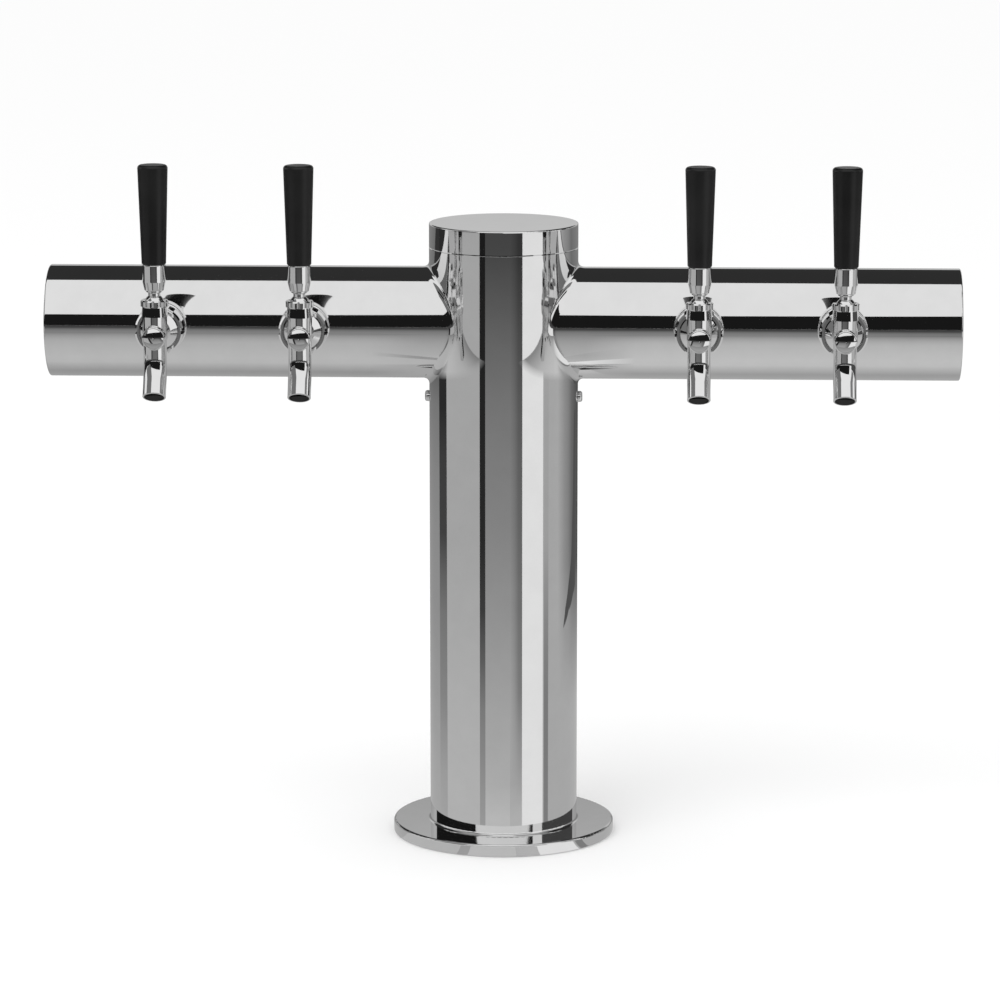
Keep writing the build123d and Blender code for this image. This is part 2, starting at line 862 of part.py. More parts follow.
def make_faucet_body(x):
    stem_room = finger_diameter / 2 + finger_slot_clearance
    tip_room = finger_tip_diameter / 2 + finger_slot_clearance
    slot_top = pivot_height - ball_radius / 2
    slot_floor = tip_height - finger_slot_clearance
    tip_back = lever_forward - valve_travel - tip_room
    tip_top = finger_point(finger_length - tip_room, tip_room)[1]
    stem_low = finger_point(finger_length - 2 * tip_room, stem_room)
    stem_high = finger_point(ball_radius / 2, stem_room)
    slot_outline = [
        (lever_forward + tip_room, slot_top),
        (lever_forward + tip_room, slot_floor),
        (tip_back, slot_floor),
        (tip_back, tip_top),
        stem_low,
        stem_high,
    ]
    web_outline = [
        (lever_forward, turret_shoulder),
        (lever_forward, 0),
        (tip_back - slot_wall, 0),
        (tip_back - slot_wall, tip_top + slot_wall),
        (stem_low[0] - slot_wall, stem_low[1] + slot_wall),
        (lever_forward - turret_diameter / 2, turret_shoulder),
    ]
    spout_start = Plane(
        origin=(x, -lever_forward, tap_height - spout_root_drop), x_dir=(1, 0, 0), z_dir=(0, 0, -1)
    )
    boss_radius = boss_diameter / 2
    boss_edge = lever_forward + boss_reach
    boss_flat_radius = boss_radius - boss_edge_round
    dome_radius = (boss_flat_radius**2 + boss_dome**2) / (2 * boss_dome)
    dome_turn = rise_angle(dome_radius, boss_flat_radius)
    nose_turn = rise_angle(barrel_radius, boss_radius)
    nose_corner = chord(nose_bore_radius, shaft_bore_radius)
    with BuildPart() as body:
        # Web behind the turret that covers the lever's finger.
        extrude(outline(side_plane(x), web_outline), amount=tip_room + slot_wall, both=True)
        fillet(body.edges(), web_edge_round)
        # Threaded rear end, conical neck, and barrel with a round nose and a domed boss.
        with BuildSketch(side_plane(x)):
            with BuildLine():
                Polyline(
                    (boss_edge + boss_dome, 0),
                    (faucet_back, 0),
                    (faucet_back, faucet_thread_diameter / 2),
                    (faucet_thread_front, faucet_thread_diameter / 2),
                    (neck_front, barrel_radius),
                    (lever_forward, barrel_radius),
                )
                CenterArc((lever_forward, 0), barrel_radius, nose_turn, 90 - nose_turn)
                Line(
                    (lever_forward + chord(barrel_radius, boss_radius), boss_radius),
                    (boss_edge - boss_edge_round, boss_radius),
                )
                CenterArc((boss_edge - boss_edge_round, boss_flat_radius), boss_edge_round, 0, 90)
                CenterArc((boss_edge + boss_dome - dome_radius, 0), dome_radius, 0, dome_turn)
            make_face()
        revolve(axis=shank_axis(x))
        # Upright turret with its thread, and the spout.
        with BuildSketch(Plane.XY.offset(tap_height)):
            with Locations((x, -lever_forward)):
                Circle(turret_diameter / 2)
        extrude(amount=turret_shoulder)
        with BuildSketch(spout_start):
            Circle(spout_diameter / 2)
        sweep(path=spout_route(x))
        seams = body.edges().filter_by(GeomType.CIRCLE, reverse=True).filter_by(GeomType.LINE, reverse=True)
        fillet(seams.filter_by(lambda seam: seam.center().Z < tap_height + barrel_radius), casting_fillet)
        with BuildSketch(Plane.XY.offset(tap_height)):
            with Locations((x, -lever_forward)):
                Circle(turret_thread_diameter / 2)
        extrude(amount=turret_top)
        # Bores: supply chamber, seat, shaft bore, finger slot and spout.
        with BuildSketch(side_plane(x)):
            with BuildLine():
                Polyline(
                    (lever_forward + nose_bore_radius, 0),
                    (faucet_back, 0),
                    (faucet_back, chamber_diameter / 2),
                    (seat_face, chamber_diameter / 2),
                    (seat_face, seat_bore_diameter / 2),
                    (seat_front, seat_bore_diameter / 2),
                    (seat_front, shaft_bore_radius),
                    (lever_forward + nose_corner, shaft_bore_radius),
                )
                bore_turn = rise_angle(nose_bore_radius, shaft_bore_radius)
                CenterArc((lever_forward, 0), nose_bore_radius, 0, bore_turn)
            make_face()
        revolve(axis=shank_axis(x), mode=Mode.SUBTRACT)
        with BuildSketch(Plane.XY.offset(tap_height + slot_top)):
            with Locations((x, -lever_forward)):
                Circle(turret_bore_diameter / 2)
        extrude(amount=-(slot_top - turret_shoulder + ball_radius), mode=Mode.SUBTRACT)
        extrude(outline(side_plane(x), slot_outline), amount=tip_room, both=True, mode=Mode.SUBTRACT)
        with BuildSketch(spout_start):
            Circle(spout_bore_diameter / 2)
        sweep(path=spout_route(x), mode=Mode.SUBTRACT)
        lips = body.edges().filter_by(GeomType.CIRCLE).sort_by(Axis.Z)[:2]
        fillet(lips, spout_lip_round)
    return body.part


def make_bonnet(x):
    """Fluted cap nut over the turret, open where the lever's ball shows."""
    socket_radius = ball_radius + ball_clearance
    skirt_bore_radius = turret_thread_diameter / 2 + thread_clearance
    lip_radius = chord(socket_radius, bonnet_above_pivot)
    rim_radius = bonnet_rim_diameter / 2
    groove_radius = bonnet_groove_diameter / 2
    rim_bottom = bonnet_top - bonnet_rim_height
    groove_bottom = rim_bottom - bonnet_groove_height
    flute_places = PolarLocations(rim_radius, bonnet_flutes)
    with BuildPart() as bonnet:
        with BuildSketch(side_plane(x)):
            with BuildLine():
                Polyline(
                    (lever_forward + lip_radius, bonnet_top),
                    (lever_forward + rim_radius - bonnet_rim_round, bonnet_top),
                    (lever_forward + rim_radius, bonnet_top - bonnet_rim_round),
                    (lever_forward + rim_radius, rim_bottom),
                    (lever_forward + groove_radius, rim_bottom),
                    (lever_forward + groove_radius, groove_bottom),
                    (lever_forward + bonnet_skirt_diameter / 2, turret_shoulder),
                    (lever_forward + skirt_bore_radius, turret_shoulder),
                    (lever_forward + skirt_bore_radius, pivot_height),
                    (lever_forward + socket_radius, pivot_height),
                )
                lip_turn = rise_angle(socket_radius, bonnet_above_pivot)
                CenterArc((lever_forward, pivot_height), socket_radius, 0, lip_turn)
            make_face()
        revolve(axis=lever_axis(x))
        with BuildSketch(Plane(origin=(x, -lever_forward, tap_height + rim_bottom))):
            with flute_places:
                Circle(bonnet_flute_diameter / 2)
        extrude(amount=bonnet_rim_height, mode=Mode.SUBTRACT)
    return bonnet.part


def make_ball_washers():
    """Seals between the turrets' tops and the lever balls."""
    inner_radius = turret_bore_diameter / 2
    outer_radius = turret_thread_diameter / 2
    socket_radius = ball_radius + ball_washer_clearance
    washer_top = turret_top + ball_washer_thickness
    top_inner = chord(socket_radius, pivot_height - washer_top)
    cone_foot = pivot_height - chord(socket_radius, inner_radius)
    with BuildPart() as washers:
        for x in tap_places:
            with BuildSketch(side_plane(x)):
                with BuildLine():
                    Polyline(
                        (lever_forward + inner_radius, cone_foot),
                        (lever_forward + inner_radius, turret_top),
                        (lever_forward + outer_radius, turret_top),
                        (lever_forward + outer_radius, washer_top),
                        (lever_forward + top_inner, washer_top),
                    )
                    foot_turn = rise_angle(socket_radius, cone_foot - pivot_height)
                    top_turn = rise_angle(socket_radius, washer_top - pivot_height)
                    CenterArc(
                        (lever_forward, pivot_height), socket_radius, foot_turn, top_turn - foot_turn
                    )
                make_face()
            revolve(axis=lever_axis(x))
    return washers.part


def make_valve_shaft(x):
    """Sliding shaft: slotted round front, slim rod, and the head that holds the seal."""
    nose_radius = nose_bore_radius - shaft_bore_clearance
    nose_corner = chord(nose_radius, shaft_radius)
    slot_floor = tip_height - finger_tip_diameter / 2 - shaft_slot_clearance
    with BuildPart() as shaft:
        with BuildSketch(side_plane(x)):
            with BuildLine():
                Polyline(
                    (lever_forward + nose_radius, 0),
                    (shaft_head_back, 0),
                    (shaft_head_back, shaft_head_diameter / 2),
                    (seal_back, shaft_head_diameter / 2),
                    (seal_back, shaft_stem_diameter / 2),
                    (seal_front, shaft_stem_diameter / 2),
                    (seal_front, shaft_rod_diameter / 2),
                    (shaft_front_back, shaft_rod_diameter / 2),
                    (shaft_front_back, shaft_radius),
                    (lever_forward + nose_corner, shaft_radius),
                )
                CenterArc((lever_forward, 0), nose_radius, 0, rise_angle(nose_radius, shaft_radius))
            make_face()
        revolve(axis=shank_axis(x))
        with BuildSketch(Plane(origin=(x, -lever_forward, tap_height + slot_floor))):
            Rectangle(finger_tip_diameter + 2 * finger_slot_clearance, 2 * slot_half_width)
        extrude(amount=shaft_front_diameter, mode=Mode.SUBTRACT)
        with BuildSketch(Plane(origin=(x, -lever_forward, tap_height - shaft_flat_height))):
            Rectangle(shaft_front_diameter, 2 * lever_setback)
        extrude(amount=-shaft_front_diameter, mode=Mode.SUBTRACT)
    return shaft.part


def make_valve_seal(x):
    with BuildPart() as seal:
        with BuildSketch(front_plane(x, seal_back)):
            Circle(seal_diameter / 2)
            Circle(shaft_stem_diameter / 2 + seal_bore_clearance, mode=Mode.SUBTRACT)
        extrude(amount=seal_thickness)
    return seal.part


# ================================================================ lever and handle
def make_lever(x):
    """Turned lever: finger, ball, neck, flange, plain post and threaded stud."""
    finger_radius = finger_diameter / 2
    tip_radius = finger_tip_diameter / 2
    neck_radius = lever_neck_diameter / 2
    post_radius = collar_bore_diameter / 2 - lever_post_clearance
    stud_radius = lever_stud_diameter / 2
    ball_low = pivot_height - chord(ball_radius, finger_radius)
    ball_high = pivot_height + chord(ball_radius, neck_radius)
    tip_high = tip_height + chord(tip_radius, finger_radius)
    flange_bottom = collar_bottom - lever_flange_thickness
    stud_top = handle_bottom + lever_stud_length
    with BuildPart() as lever:
        with BuildSketch(side_plane(x)):
            with BuildLine():
                tip_turn = 180 - rise_angle(tip_radius, finger_radius)
                CenterArc((lever_forward, tip_height), tip_radius, -90, tip_turn)
                Line((lever_forward + finger_radius, tip_high), (lever_forward + finger_radius, ball_low))
                ball_start = rise_angle(ball_radius, finger_radius) - 90
                ball_end = 90 - rise_angle(ball_radius, neck_radius)
                CenterArc(
                    (lever_forward, pivot_height), ball_radius, ball_start, ball_end - ball_start
                )
                Polyline(
                    (lever_forward + neck_radius, ball_high),
                    (lever_forward + neck_radius, flange_bottom),
                    (lever_forward + lever_flange_diameter / 2, flange_bottom + stud_chamfer),
                    (lever_forward + lever_flange_diameter / 2, collar_bottom),
                    (lever_forward + post_radius, collar_bottom),
                    (lever_forward + post_radius, handle_bottom),
                    (lever_forward + stud_radius, handle_bottom),
                    (lever_forward + stud_radius, stud_top - stud_chamfer),
                    (lever_forward + stud_radius - stud_chamfer, stud_top),
                    (lever_forward, stud_top),
                    (lever_forward, tip_height - tip_radius),
                )
            make_face()
        revolve(axis=lever_axis(x))
    return lever.part


def make_lever_collar(x):
    """Polished ferrule between the lever's flange and the handle."""
    with BuildPart() as collar:
        section = outline(
            side_plane(x),
            [
                (lever_forward + collar_bore_diameter / 2, collar_bottom),
                (lever_forward + collar_bottom_diameter / 2, collar_bottom),
                (lever_forward + collar_top_diameter / 2, collar_bottom + collar_cone_length),
                (lever_forward + collar_top_diameter / 2, handle_bottom),
                (lever_forward + collar_bore_diameter / 2, handle_bottom),
            ],
        )
        revolve(section, axis=lever_axis(x))
        rims = collar.edges().filter_by(GeomType.CIRCLE).sort_by(SortBy.RADIUS)[-3:]
        fillet(rims, collar_edge_round)
    return collar.part


def make_handle(x):
    """Tapered black knob, wider at its top, bored for its threaded insert."""
    bore_radius = insert_diameter / 2 + insert_clearance
    with BuildPart() as handle:
        section = outline(
            side_plane(x),
            [
                (lever_forward, handle_bottom),
                (lever_forward + handle_bottom_diameter / 2, handle_bottom),
                (lever_forward + handle_top_diameter / 2, handle_top),
                (lever_forward, handle_top),
            ],
        )
        revolve(section, axis=lever_axis(x))
        fillet(handle.edges().group_by(Axis.Z)[-1], handle_top_round)
        fillet(handle.edges().group_by(Axis.Z)[0], handle_bottom_round)
        with BuildSketch(Plane(origin=(x, -lever_forward, tap_height + handle_bottom))):
            Circle(bore_radius)
        extrude(amount=insert_length, mode=Mode.SUBTRACT)
    return handle.part


def make_handle_insert(x):
    """Brass ferrule with the thread that takes the lever's stud."""
    with BuildPart() as insert:
        with BuildSketch(Plane(origin=(x, -lever_forward, tap_height + handle_bottom))):
            Circle(insert_diameter / 2)
            Circle(lever_stud_diameter / 2 + stud_clearance, mode=Mode.SUBTRACT)
        extrude(amount=insert_length)
    return insert.part


# ================================================================ labels and files
pieces = {
    "base_flange": make_base_flange(),
    "base_gasket": make_base_gasket(),
    "column_tube": make_column_tube(),
    "left_arm_tube": make_arm_tube(-1),
    "right_arm_tube": make_arm_tube(1),
    "left_end_cap": make_end_cap(-1),
    "right_end_cap": make_end_cap(1),
    "top_cap": make_top_cap(),
    "cap_o_ring": make_cap_o_ring(),
    "side_screws": make_side_screws(),
    "line_bracket": make_line_bracket(),
    "column_insulation": make_column_insulation(),
    "faucet_shanks": make_faucet_shanks(),
    "shank_flanges": make_shank_flanges(),
    "shank_saddle_washers": make_shank_saddle_washers(),
    "shank_lock_nuts": make_shank_lock_nuts(),
    "coupling_nuts": make_coupling_nuts(),
    "coupling_gaskets": make_coupling_gaskets(),
    "tail_elbows": make_tail_elbows(),
    "elbow_nuts": make_elbow_nuts(),
    "line_splicers": make_line_splicers(),
    "line_clamps": make_line_clamps(),
    "ball_washers": make_ball_washers(),
}
for number, place in enumerate(tap_places, start=1):
    pieces[f"beer_line_{number}"] = make_beer_line(place)
    pieces[f"tap_{number}_faucet_body"] = make_faucet_body(place)
    pieces[f"tap_{number}_bonnet"] = make_bonnet(place)
    pieces[f"tap_{number}_valve_shaft"] = make_valve_shaft(place)
    pieces[f"tap_{number}_valve_seal"] = make_valve_seal(place)
    pieces[f"tap_{number}_lever"] = make_lever(place)
    pieces[f"tap_{number}_lever_collar"] = make_lever_collar(place)
    pieces[f"tap_{number}_handle"] = make_handle(place)
    pieces[f"tap_{number}_handle_insert"] = make_handle_insert(place)

os.makedirs("parts", exist_ok=True)
for name, piece in pieces.items():
    piece.label = name
    export_step(piece, f"parts/{name}.step")
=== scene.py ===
"""Looks of the four-tap draught beer tower: materials, weld beads, studio and camera.

Lengths are metres in the frame of the CAD model: +X along the right arm, -Y towards the drinker,
+Z up. A turn is a direction on plan, in degrees from the front (-Y) towards the right (+X).
"""
import json
import math

import bmesh
import bpy
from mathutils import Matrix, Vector


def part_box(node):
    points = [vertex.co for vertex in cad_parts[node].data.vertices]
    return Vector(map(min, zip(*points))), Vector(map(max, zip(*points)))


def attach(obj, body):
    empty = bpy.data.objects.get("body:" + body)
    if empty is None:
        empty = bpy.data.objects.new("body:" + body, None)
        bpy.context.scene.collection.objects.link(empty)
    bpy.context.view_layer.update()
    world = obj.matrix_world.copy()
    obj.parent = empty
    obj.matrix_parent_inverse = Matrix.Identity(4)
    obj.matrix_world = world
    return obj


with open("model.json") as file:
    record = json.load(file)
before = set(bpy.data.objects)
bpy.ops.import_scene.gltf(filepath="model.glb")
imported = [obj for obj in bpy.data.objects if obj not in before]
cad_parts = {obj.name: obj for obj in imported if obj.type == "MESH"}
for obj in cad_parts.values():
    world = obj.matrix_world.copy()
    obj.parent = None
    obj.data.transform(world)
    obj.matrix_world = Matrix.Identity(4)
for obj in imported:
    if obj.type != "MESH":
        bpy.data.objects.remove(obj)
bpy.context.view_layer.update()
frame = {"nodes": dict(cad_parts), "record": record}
nodes = frame["nodes"]

MM = 0.001


def middle(node, axis):
    """Middle of a CAD node's box along an axis."""
    low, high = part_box(node)
    return (high[axis] + low[axis]) / 2


def half_size(node, axis):
    """Half of a CAD node's size along an axis."""
    low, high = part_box(node)
    return (high[axis] - low[axis]) / 2


# ---------------------------------------------------------------- shader nodes
# Sockets of a Mix node that hold its colours.
COLOUR_A, COLOUR_B, COLOUR_RESULT = 6, 7, 2


def rgba(colour):
    """Opaque colour from one grey, or from red, green and blue."""
    if not isinstance(colour, tuple):
        colour = (colour, colour, colour)
    return colour + (1.0,)


class Shader:
    """The node tree of a material or of the world, built node by node."""

    def __init__(self, tree):
        self.tree = tree
        self.tree.nodes.clear()

    def add(self, kind, **values):
        node = self.tree.nodes.new(kind)
        for name, value in values.items():
            setattr(node, name, value)
        return node

    def link(self, source, target):
        self.tree.links.new(source, target)

    def show(self, surface):
        """Make this shader output the material's surface."""
        self.link(surface, self.add("ShaderNodeOutputMaterial").inputs["Surface"])

    def position(self):
        """Object coordinates, which at rest are a point's place in the frame."""
        return self.add("ShaderNodeTexCoord").outputs["Object"]

    def stretched(self, scale=(1, 1, 1)):
        """Object coordinates, stretched per axis."""
        mapping = self.add("ShaderNodeMapping")
        mapping.inputs["Scale"].default_value = scale
        self.link(self.position(), mapping.inputs["Vector"])
        return mapping.outputs["Vector"]

    def axes(self):
        """The position's parts, named X, Y and Z."""
        parts = self.add("ShaderNodeSeparateXYZ")
        self.link(self.position(), parts.inputs["Vector"])
        return parts.outputs

    def radius(self):
        """Distance from the frame's origin: on the table, the distance from the tower's axis."""
        length = self.add("ShaderNodeVectorMath", operation="LENGTH")
        self.link(self.position(), length.inputs[0])
        return length.outputs["Value"]

    def turn(self):
        """Direction on plan, in degrees right of the front."""
        axes = self.axes()
        forward = self.math("MULTIPLY", axes["Y"], -1.0)
        return self.math("MULTIPLY", self.math("ARCTAN2", axes["X"], forward), math.degrees(1.0))

    def noise(self, vector, scale, detail=2.0, rough=0.5):
        node = self.add("ShaderNodeTexNoise")
        node.inputs["Scale"].default_value = scale
        node.inputs["Detail"].default_value = detail
        node.inputs["Roughness"].default_value = rough
        self.link(vector, node.inputs["Vector"])
        return node.outputs["Fac"]

    def ramp(self, fac, stops):
        """Colour ramp; each stop is (position, grey or colour)."""
        node = self.add("ShaderNodeValToRGB")
        points = node.color_ramp.elements
        while len(points) < len(stops):
            points.new(0.5)
        for point, (position, colour) in zip(points, stops):
            point.position = position
            point.color = rgba(colour)
        self.link(fac, node.inputs["Fac"])
        return node.outputs["Color"]

    def span(self, fac, low, high, start=0.0, end=1.0):
        """Number that goes from low to high while fac goes from start to end."""
        node = self.add("ShaderNodeMapRange")
        node.inputs["From Min"].default_value = start
        node.inputs["From Max"].default_value = end
        node.inputs["To Min"].default_value = low
        node.inputs["To Max"].default_value = high
        self.link(fac, node.inputs["Value"])
        return node.outputs["Result"]

    def math(self, operation, first, second=None):
        """One sum; each term is a socket or a number."""
        node = self.add("ShaderNodeMath", operation=operation)
        for socket, value in zip(node.inputs, (first, second)):
            if isinstance(value, float):
                socket.default_value = value
            elif value is not None:
                self.link(value, socket)
        return node.outputs["Value"]

    def mix(self, fac, first, second):
        """Colour between two; each is a socket or a grey."""
        node = self.add("ShaderNodeMix", data_type="RGBA")
        self.link(fac, node.inputs["Factor"])
        for index, colour in ((COLOUR_A, first), (COLOUR_B, second)):
            if isinstance(colour, float):
                node.inputs[index].default_value = rgba(colour)
            else:
                self.link(colour, node.inputs[index])
        return node.outputs[COLOUR_RESULT]

    def shade_along(self, measure, stops, foot=None):
        """Grey that changes with a measure: X, Y, Z, radius or turn. Each stop is (place, grey).

        With foot, which is (grey, near, far), it becomes that grey from the far radius inwards
        to the near one.
        """
        if measure == "radius":
            place = self.radius()
        elif measure == "turn":
            place = self.turn()
        else:
            place = self.axes()[measure]
        low, high = stops[0][0], stops[-1][0]
        fac = self.span(place, 0.0, 1.0, start=low, end=high)
        shade = self.ramp(fac, [((at - low) / (high - low), grey) for at, grey in stops])
        if foot is None:
            return shade
        foot_grey, near, far = foot
        return self.mix(self.span(self.radius(), 0.0, 1.0, start=near, end=far), foot_grey, shade)

    def bump(self, height, distance):
        node = self.add("ShaderNodeBump")
        node.inputs["Distance"].default_value = distance
        node.inputs["Strength"].default_value = 1.0
        self.link(height, node.inputs["Height"])
        return node.outputs["Normal"]


def bare_material(name):
    material = bpy.data.materials.new(name)
    material.use_nodes = True
    return material, Shader(material.node_tree)


def principled_material(name, metallic=0.0):
    """Material with one Principled surface, whose inputs come last."""
    material, shader = bare_material(name)
    surface = shader.add("ShaderNodeBsdfPrincipled")
    surface.inputs["Metallic"].default_value = metallic
    shader.show(surface.outputs["BSDF"])
    return material, shader, surface.inputs


def dress(shader, surface, colour, roughness, height, depth):
    """Give a surface its colour, its roughness and a bump of this depth."""
    shader.link(colour, surface["Base Color"])
    shader.link(roughness, surface["Roughness"])
    shader.link(shader.bump(height, depth), surface["Normal"])


# ---------------------------------------------------------------- materials
# The spouts' tilted ends, as part.py makes them: where their centre line bends, its tilt from
# upright, and a radius between the bore's and the outside's.
BEND_FORWARD = 84.0 * MM
BEND_HEIGHT = 335.5 * MM
SPOUT_TILT = math.radians(31.0)
BORE_REACH = 6.8 * MM
# Painted shade inside the bores: their colour is darkened to this grey, as light hardly reaches in
# there; the next value makes them rougher.
BORE_PAINTED_SHADE = 0.05
BORE_DULLNESS = 0.45


def inside_spouts(shader):
    """1 inside the bores of the four spouts' tilted ends, 0 elsewhere."""
    outer, inner = middle("tap_1_faucet_body", 0), middle("tap_2_faucet_body", 0)
    axes = shader.axes()
    # Folding X at the tower's axis and between an arm's two taps leaves one tap.
    across = shader.math("ABSOLUTE", axes["X"])
    across = shader.math("ABSOLUTE", shader.math("SUBTRACT", across, -(outer + inner) / 2))
    across = shader.math("SUBTRACT", across, (inner - outer) / 2)
    forward = shader.math("ADD", axes["Y"], BEND_FORWARD)
    forward = shader.math("MULTIPLY", forward, math.cos(SPOUT_TILT))
    upward = shader.math("SUBTRACT", axes["Z"], BEND_HEIGHT)
    upward = shader.math("MULTIPLY", upward, math.sin(SPOUT_TILT))
    beside = shader.math("SUBTRACT", upward, forward)
    squares = [shader.math("MULTIPLY", side, side) for side in (across, beside)]
    off_axis = shader.math("SQRT", shader.math("ADD", *squares))
    below_bend = shader.math("LESS_THAN", axes["Z"], BEND_HEIGHT)
    return shader.math("MULTIPLY", shader.math("LESS_THAN", off_axis, BORE_REACH), below_bend)


def polished_metal(name, tint, smudge, wave, painted_shade_and_dull_where=None):
    """Mirror-polished metal with a faint polishing haze and a very slight waviness.

    Where the given mask is 1 it is duller, and its colour is painted dark: painted shade, standing in
    for the shade deep inside a bore.
    """
    material, shader, surface = principled_material(name, metallic=1.0)
    haze = shader.noise(shader.stretched(), scale=60.0, detail=4.0, rough=0.6)
    colour = shader.ramp(haze, [(0.35, tint), (0.65, tint * 0.97)])
    patches = shader.noise(shader.stretched(), scale=9.0)
    roughness = shader.span(patches, *smudge, start=0.35, end=0.65)
    if painted_shade_and_dull_where:
        inside = painted_shade_and_dull_where(shader)
        # Painted shade: the bores' colour is darkened, in place of the shade inside them.
        colour = shader.mix(inside, colour, BORE_PAINTED_SHADE)
        roughness = shader.math("ADD", roughness, shader.math("MULTIPLY", inside, BORE_DULLNESS))
    ripple = shader.noise(shader.stretched(), scale=14.0, detail=1.0)
    dress(shader, surface, colour, roughness, ripple, wave)
    return material


def lined_metal(name, dark, light, stretch, grain, sheen, depth):
    """Drawn, brushed or turned metal: fine lines, whose noise has this scale, detail and roughness."""
    material, shader, surface = principled_material(name, metallic=1.0)
    lines = shader.noise(shader.stretched(stretch), *grain)
    colour = shader.ramp(lines, [(0.3, dark), (0.7, light)])
    dress(shader, surface, colour, shader.span(lines, *sheen), lines, depth)
    return material


def moulded_plastic(name, dark, light, roughness, specular, depth):
    """Satin moulded plastic with a fine grain and slow changes of sheen."""
    material, shader, surface = principled_material(name)
    surface["Specular IOR Level"].default_value = specular
    slow = shader.noise(shader.stretched(), scale=28.0)
    colour = shader.ramp(slow, [(0.3, dark), (0.7, light)])
    sheen = shader.span(slow, roughness - 0.05, roughness + 0.05, start=0.3, end=0.7)
    pits = shader.noise(shader.stretched(), scale=1400.0)
    dress(shader, surface, colour, sheen, pits, depth)
    return material


def soft_rubber(name):
    """Matte black rubber with a little dust in its grain."""
    material, shader, surface = principled_material(name)
    surface["Specular IOR Level"].default_value = 0.3
    dust = shader.noise(shader.stretched(), scale=300.0, detail=4.0, rough=0.65)
    colour = shader.ramp(dust, [(0.4, 0.012), (0.75, 0.03)])
    dress(shader, surface, colour, shader.span(dust, 0.55, 0.75), dust, 0.04 * MM)
    return material


def foam(name):
    """Closed-cell foam skin: small pits in a dark matte sleeve."""
    material, shader, surface = principled_material(name)
    surface["Specular IOR Level"].default_value = 0.15
    surface["Roughness"].default_value = 0.92
    cells = shader.add("ShaderNodeTexVoronoi")
    cells.inputs["Scale"].default_value = 700.0
    shader.link(shader.stretched(), cells.inputs["Vector"])
    depth = cells.outputs["Distance"]
    # Painted shade: each pit is painted darker towards its bottom, by the same measure that sinks it
    # in the bump.
    colour = shader.ramp(depth, [(0.0, (0.02, 0.02, 0.022)), (0.6, (0.07, 0.07, 0.075))])
    shader.link(colour, surface["Base Color"])
    shader.link(shader.bump(depth, 0.25 * MM), surface["Normal"])
    return material


def milky_hose(name):
    """Half-clear hose with a slight cloudiness."""
    material, shader, surface = principled_material(name)
    surface["Transmission Weight"].default_value = 0.45
    surface["IOR"].default_value = 1.45
    cloud = shader.noise(shader.stretched(), scale=90.0, detail=3.0)
    colour = shader.ramp(cloud, [(0.3, (0.72, 0.76, 0.73)), (0.7, (0.86, 0.88, 0.85))])
    shader.link(colour, surface["Base Color"])
    shader.link(shader.span(cloud, 0.16, 0.3), surface["Roughness"])
    return material


PLATED = {"tint": 0.76, "smudge": (0.02, 0.06), "wave": 0.006 * MM}
looks = {
    "tower": polished_metal("tower_polish", tint=0.73, smudge=(0.015, 0.05), wave=0.004 * MM),
    "faucet": polished_metal("faucet_plated", painted_shade_and_dull_where=inside_spouts, **PLATED),
    "plated": polished_metal("plated_polish", **PLATED),
    "satin": lined_metal(
        "satin_stainless", dark=(0.492, 0.492, 0.5002), light=(0.60, 0.60, 0.61),
        stretch=(1, 1, 0.06), grain=(240.0, 3.0, 0.7), sheen=(0.22, 0.36), depth=0.02 * MM,
    ),
    "brass": lined_metal(
        "turned_brass", dark=(0.58, 0.40, 0.17), light=(0.76, 0.56, 0.27),
        stretch=(0.2, 0.2, 6.0), grain=(260.0, 2.0, 0.6), sheen=(0.2, 0.34), depth=0.03 * MM,
    ),
    "handle": moulded_plastic(
        "handle_black", dark=0.006, light=0.010, roughness=0.34, specular=0.28, depth=0.012 * MM,
    ),
    "white": moulded_plastic(
        "white_washer", dark=(0.78, 0.78, 0.76), light=(0.84, 0.84, 0.82),
        roughness=0.4, specular=0.4, depth=0.01 * MM,
    ),
    "grey": moulded_plastic(
        "grey_washer", dark=0.22, light=0.28, roughness=0.5, specular=0.4, depth=0.02 * MM,
    ),
    "rubber": soft_rubber("seal_rubber"),
    "hose": milky_hose("hose_milky"),
    "foam": foam("sleeve_foam"),
}
look_of_slot = {
    "polished_steel": "tower",
    "chromed_brass": "plated",
    "satin_steel": "satin",
    "plain_brass": "brass",
    "black_plastic": "handle",
    "black_rubber": "rubber",
    "white_plastic": "white",
    "grey_plastic": "grey",
    "clear_hose": "hose",
    "grey_foam": "foam",
}
for part in frame["record"]["subparts"]:
    name = part["node"]
    look = "faucet" if name.endswith("faucet_body") else look_of_slot[part["material_slot"]]
    materials = nodes[name].data.materials
    materials.clear()
    materials.append(looks[look])

# ---------------------------------------------------------------- weld beads
column_radius = half_size("column_tube", 0)
arm_radius = half_size("left_arm_tube", 2)
arm_height = middle("left_arm_tube", 2)
flange_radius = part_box("base_flange")[1][0]
flange_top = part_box("base_flange")[1][2]

# How far a bead's edges lie under the walls, so that they leave no gap.
SINK = 0.03 * MM
SHARP_ANGLE = math.radians(50)


